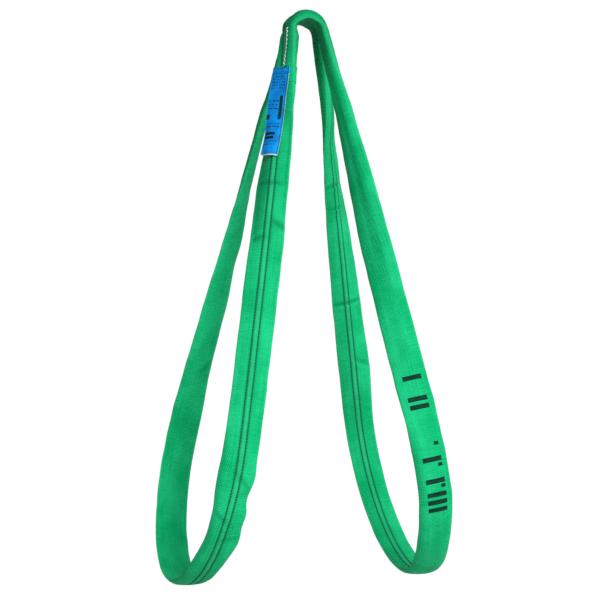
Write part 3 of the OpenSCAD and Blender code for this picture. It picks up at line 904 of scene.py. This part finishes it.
def make_hem():
    """A band round the strand, with rolled ends."""
    loop = LEFT_LOOP
    roll_at, roll_proud, flat_rows = [0, 0.4, 1.2], [0.25, 0.8, 1.05], 13
    rows = roll_at + list(np.linspace(3, HEM_L - 3, flat_rows)) + [HEM_L - down for down in roll_at[::-1]]
    proud = roll_proud + [HEM_PROUD] * flat_rows + roll_proud[::-1]
    s = HEM_AT + np.array(rows)
    outer, around, _, _ = round_strand(loop, s, -np.array(proud)[:, None])
    inner = round_strand(loop, s, -0.1)[0]
    mesh = Mesh()
    rings, count = outer.shape[:2]
    first, under = mesh.add_points(outer), mesh.add_points(inner)
    turned = loop.hand < 0
    mesh.add_grid(first, rings, count, s * MM, around, closed=True, turned=turned)
    mesh.add_grid(under, rings, count, s * MM, around, closed=True, turned=not turned)
    for r, way in ((0, turned), (rings - 1, not turned)):
        for k in range(count):
            a, b = r * count + k, r * count + (k + 1) % count
            face = [first + a, under + a, under + b, first + b]
            uv = [(s[r] * MM, around[k])] * 2 + [(s[r] * MM, around[k + 1])] * 2
            mesh.add_face(face, uv, turned=way)
    # the rolled ends lighter: worn fuzz and painted sheen
    edge = np.zeros((rings, count))
    edge[[0, 1, 2, -3, -2, -1]] = 1.0
    # painted shade near the hook
    painted_shade = np.broadcast_to(hook_shade(loop, s)[:, None], edge.shape).ravel()
    mesh.values = {"wear_and_sheen": np.tile(edge.ravel(), 2), "painted_shade": np.tile(painted_shade, 2)}
    hem = mesh.build("sleeve_end_hem_cloth", "cover_web")
    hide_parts("sleeve_end_hem")
    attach(hem, "left_loop")


def make_hem_stitches():
    """A row of stitches round each end of the hem."""
    mesh = Mesh()
    x = np.linspace(-0.78, 0.78, 60)
    for down in (3.2, HEM_L - 4.0):
        s = np.full(len(x), HEM_AT + down)
        for face in (1, -1):
            stitches_along(mesh, LEFT_LOOP, s, x, face, HEM_STITCH, lift=HEM_PROUD - 0.05)
    done = mesh.build("sleeve_end_stitching", "seam_thread")
    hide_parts("sleeve_end_stitches")
    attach(done, "left_loop")


make_hem()
make_hem_stitches()

# ---------- the label ----------


def blurred(grid):
    """Each value's mean with the eight around it."""
    padded, (rows, count) = np.pad(grid, 1, mode="edge"), grid.shape
    return np.mean([padded[i : i + rows, k : k + count] for i in range(3) for k in range(3)], 0)


def label_heights(s, a):
    """A stiff leaf's height over the strand's middle plane: it rides on the cover's high places."""
    s, a = np.meshgrid(s, a, indexing="ij")
    _, _, _, width, thick = LEFT_LOOP.frame_at(s)
    _, height = section(LEFT_LOOP, s, a / (width / 2), np.ones(s.shape), width, thick)
    for _ in range(3):
        height = np.maximum(height, blurred(height))
    for _ in range(5):
        height = blurred(height)
    return height


# the cover's heights under the label, with room round it for its drift and its turn
LABEL_ROWS = LEFT_LOOP.s_leave_near + np.linspace(TAIL_TOP - 6, LEAF_TOP + LABEL_L + INNER_LONGER, 75)
LABEL_COLUMNS = np.linspace(LABEL_FROM - 7, LABEL_TO + 7, 20)
LABEL_HEIGHTS = label_heights(LABEL_ROWS, LABEL_COLUMNS)


def place_between(v, places):
    """The number of the place before v, and v's share of the way to the next one."""
    at = np.clip(np.interp(v, places, np.arange(len(places))), 0, len(places) - 1.001)
    before = at.astype(int)
    return before, at - before


def label_points(s, a, over):
    """Points at a height over the surface that the label lies on."""
    s, a = np.meshgrid(s, a, indexing="ij")
    down = (s - LEFT_LOOP.s_leave_near - LEAF_TOP) / LABEL_L
    away = (LABEL_TO - a) / (LABEL_TO - LABEL_FROM)
    s = s - away * mix(*LABEL_TURN, np.clip(down, 0, 1))
    a = a + LABEL_SKEW * (0.4 - down)
    (i, share_i), (k, share_k) = place_between(s, LABEL_ROWS), place_between(a, LABEL_COLUMNS)
    low = mix(LABEL_HEIGHTS[i, k], LABEL_HEIGHTS[i + 1, k], share_i)
    high = mix(LABEL_HEIGHTS[i, k + 1], LABEL_HEIGHTS[i + 1, k + 1], share_i)
    hang = 2.2 * rise(down, 0.72, 0.3) + 0.5 * noise(91, s, a, 22, 40) * rise(down, 0, 0.15)
    hang = hang + away * mix(*LABEL_OFF, rise(down, -0.1, 0.6))
    height = mix(low, high, share_k) + 0.5 + hang + over
    centre, across, seam, _, _ = LEFT_LOOP.frame_at(s)
    return centre + across * a[..., None] + seam * height[..., None]


def leaf(name, slot, down, length, sides, over, thick=LEAF_T):
    """A leaf of the label between two side edges, from a distance down its leg."""
    s = LEFT_LOOP.s_leave_near + np.linspace(down, down + length, max(4, int(length / 2)))
    a = np.linspace(*sides, 15)
    mesh = Mesh()
    us, vs = (s - s[0]) * MM, (a - a[0]) * MM
    slab(mesh, label_points(s, a, over), label_points(s, a, over + thick), us, vs)
    return mesh.build(name, slot)


def bend_below_tail(piece):
    """Bakes the piece's placing into its mesh."""
    s = LEFT_LOOP.s_leave_near + LEAF_TOP + np.array([0.0, LABEL_BEND])
    start, end = label_points(s, np.array([(LABEL_FROM + LABEL_TO) / 2]), INNER_OVER)[:, 0] * MM
    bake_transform(piece)


def make_leaves():
    sides = (LABEL_FROM + INNER_IN, LABEL_TO + INNER_WIDER)
    length = LABEL_L + INNER_LONGER
    inner = leaf("label_inner_leaf_cloth", "label_pale", LEAF_TOP, length, sides, INNER_OVER)
    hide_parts("label_inner_leaf")
    bend_below_tail(inner)

    sides = (LABEL_FROM, LABEL_TO)
    front = leaf("label_face_leaf", "label_blue", LEAF_TOP, LABEL_L, sides, FACE_OVER)
    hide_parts("label_face")
    bend_below_tail(front)

    # the tail is as thick as both leaves, and reaches a little lower
    under = INNER_OVER - 0.3
    tail = leaf("label_tail_cloth", "label_blue", TAIL_TOP, TAIL_L, sides, under, LABEL_TOP - under)
    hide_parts("label_tail")
    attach(tail, "left_loop")


# Print on the label: plain blocks (distance down, length, place across, width) and rows of short dashes
# (distance down, number of dashes, their thickness). The rows beside the long block are shorter.
LABEL_BLOCKS = [(36, 38, 4, 4.8), (67, 7, -15.5, 6), (95, 4.2, -13, 17), (101.5, 4.2, -14, 17)]
DASH_ROWS = [
    (4, 5, 1.3), (8, 6, 1.3), (13, 4, 1.3), (18, 6, 1.3), (23, 5, 1.3), (44, 3, 1.5),
    (50, 3, 1.5), (56, 2, 1.5), (80, 5, 1.4), (85, 4, 1.4), (109, 6, 1.3), (114, 5, 1.3),
]
ROW_LONG, ROW_SHORT = 23.0, 18.0
BLOCK_BESIDE = (28, 68)


def label_marks():
    marks = list(LABEL_BLOCKS)
    draw = np.random.RandomState(5)
    for down, dashes, thick in DASH_ROWS:
        row = ROW_SHORT if BLOCK_BESIDE[0] < down < BLOCK_BESIDE[1] else ROW_LONG
        at = LABEL_FROM + 2.5
        for _ in range(dashes):
            marks.append((down, thick, at, draw.uniform(1.6, row / dashes - 0.9)))
            at += row / dashes
    return marks


def make_label_print():
    mesh = Mesh()
    for down, length, at, width in label_marks():
        start = LEFT_LOOP.s_leave_near + LEAF_TOP + down
        s = np.linspace(start, start + length, max(3, int(length / 2)))
        a = np.linspace(at, at + width, max(3, int(width / 2)))
        low, high = (label_points(s, a, LABEL_TOP + out) for out in (-0.1, 0.12))
        slab(mesh, low, high, s * MM, a * MM)
    done = mesh.build("label_print_ink", "print_ink")
    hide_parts("label_print")
    bend_below_tail(done)


def make_label_stitches():
    """Two rows of stitches across the tail."""
    mesh = Mesh()
    arch = [-0.3, 0.15, 0.25, 0.15, -0.3]
    for down in (2.0, 7.5):
        s = np.array([LEFT_LOOP.s_leave_near + TAIL_TOP + down])
        for k in range(9):
            a = LABEL_FROM + 2 + 3.0 * k + np.linspace(0, 2.2, len(arch))
            line = np.array([label_points(s, a[[i]], LABEL_TOP + lift)[0, 0] for i, lift in enumerate(arch)])
            stitch(mesh, line, LEFT_LOOP.frame_at(s)[2], 0.9, 0.6)
    done = mesh.build("label_stitching", "seam_thread")
    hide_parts("label_stitches")
    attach(done, "left_loop")


def make_closing_thread():
    """The pale zigzag that closes the cover's end, up the fold from the label to the hook."""
    mesh = Mesh()
    arch = np.array([-0.2, 0.35, 0.45, 0.35, -0.2])
    face = np.ones(len(arch))
    down = np.arange(4.0, TAIL_TOP - 1.0, 3.4)
    for k, (start, end) in enumerate(zip(down, down[1:])):
        s = LEFT_LOOP.s_leave_near + np.linspace(start, end, len(arch))
        swing = 0.13 if k % 2 else -0.13
        x = 0.1 + 0.3 * (1 - rise(start, 0, 75)) + np.linspace(-swing, swing, len(arch))
        up = LEFT_LOOP.normal(s, x, face)
        stitch(mesh, LEFT_LOOP.point(s, x, face) + up * arch[:, None], up, 2.1, 1.3)
    done = mesh.build("closing_thread", "label_thread")
    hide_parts("sleeve_end_stitches")
    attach(done, "left_loop")


make_leaves()
make_label_print()
make_label_stitches()
make_closing_thread()

# ---------- the rated-load print ----------

# Plain bars and dots: where each one ends, on the leg as a distance past its foot (less than 0 is up the leg)
# and on the load as an angle over its middle
BARS_ON_LEG = (-37, -49, -81)
BARS_ON_LOAD = (2.0, -7.7, -21.3, -17.6, -14.0)
DOTS_ON_LOAD = (9.0, -0.4, -10.0)
BAR_FROM, BAR_L, BAR_T = -10.5, 27.0, 7.0
DOT_W = 5.0


def load_marks():
    """Distance past the foot, length along the sling, place across, width."""
    arc = math.radians(LOAD_R + WEB_T)
    foot_angle = math.degrees(RIGHT_LOOP.near.lift)
    ends = list(BARS_ON_LEG) + [(foot_angle - angle) * arc for angle in BARS_ON_LOAD]
    marks = [(end - BAR_T, BAR_T, BAR_FROM, BAR_L) for end in ends]
    for angle in DOTS_ON_LOAD:
        marks.append(((foot_angle - angle) * arc - DOT_W, DOT_W, BAR_FROM + BAR_L - DOT_W, DOT_W))
    return marks


def make_load_mark():
    mesh = Mesh()
    for past, length, at, width in load_marks():
        s = RIGHT_LOOP.s_foot_near + np.linspace(past, past + length, 4)
        a = np.linspace(at, at + width, max(4, int(width / 1.5)))
        grid_s, grid_a = np.meshgrid(s, a, indexing="ij")
        x = grid_a / (RIGHT_LOOP.frame_at(grid_s)[3] / 2)
        face = np.full(x.shape, -1)
        low, high = (RIGHT_LOOP.lifted(grid_s, x, face, np.full(x.shape, out)) for out in (-0.12, 0.14))
        slab(mesh, low, high, s * MM, a * MM)
    done = mesh.build("load_mark_ink", "print_ink")
    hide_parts("load_mark")
    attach(done, "right_loop")


make_load_mark()

# ---------- camera, lights, floor ----------

CAMERA_AT = (-0.5646, -2.2146, -0.4123)
# the camera looks level, and this far to the right of straight ahead
CAMERA_TURN = math.radians(14.15)
STAGE_SIZE = 8.0
FLOOR_Z = -1.9
BACKDROP_AWAY = 5.0
AIM = (0, 0, -0.4)

camera_data = bpy.data.cameras.new("camera")
camera_data.lens = 88.7
camera_data.sensor_width = 36
camera_data.clip_end = 100
camera = add_object("camera", camera_data)
camera.location = CAMERA_AT
camera.rotation_euler = (math.pi / 2, 0, -CAMERA_TURN)
bpy.context.scene.camera = camera

world = bpy.data.worlds.new("world")
world.use_nodes = True
sky = world.node_tree.nodes["Background"]
sky.inputs["Color"].default_value = (1, 1, 1, 1)
sky.inputs["Strength"].default_value = 0.32
bpy.context.scene.world = world
bpy.context.scene.view_settings.view_transform = "Standard"


def stage_plane(name, place, turn, colour, glow):
    bpy.ops.mesh.primitive_plane_add(size=STAGE_SIZE, location=place, rotation=turn)
    plane = bpy.context.object
    plane.name = name
    light = {"Emission_Color": (1, 1, 1, 1), "Emission_Strength": glow}
    plane.data.materials.append(Shader(name, Base_Color=colour, Roughness=0.9, **light).material)


behind = (BACKDROP_AWAY * math.sin(CAMERA_TURN), BACKDROP_AWAY * math.cos(CAMERA_TURN), 0.0)
stage_plane("floor", (0, 0, FLOOR_Z), (0, 0, 0), (0.8, 0.8, 0.8, 1), 0.0)
stage_plane("backdrop", behind, (math.pi / 2, 0, -CAMERA_TURN), (0, 0, 0, 1), 1.0)


def area_light(name, place, size, power):
    data = bpy.data.lights.new(name, "AREA")
    data.shape = "RECTANGLE"
    data.size = data.size_y = size
    data.energy = power
    ob = add_object(name, data)
    ob.location = place
    ob.rotation_euler = (Vector(AIM) - Vector(place)).to_track_quat("-Z", "Y").to_euler()


area_light("key", (0.25, -3.3, 1.1), 0.6, 95)
area_light("side", (1.9, -2.8, 0.8), 1.2, 85)
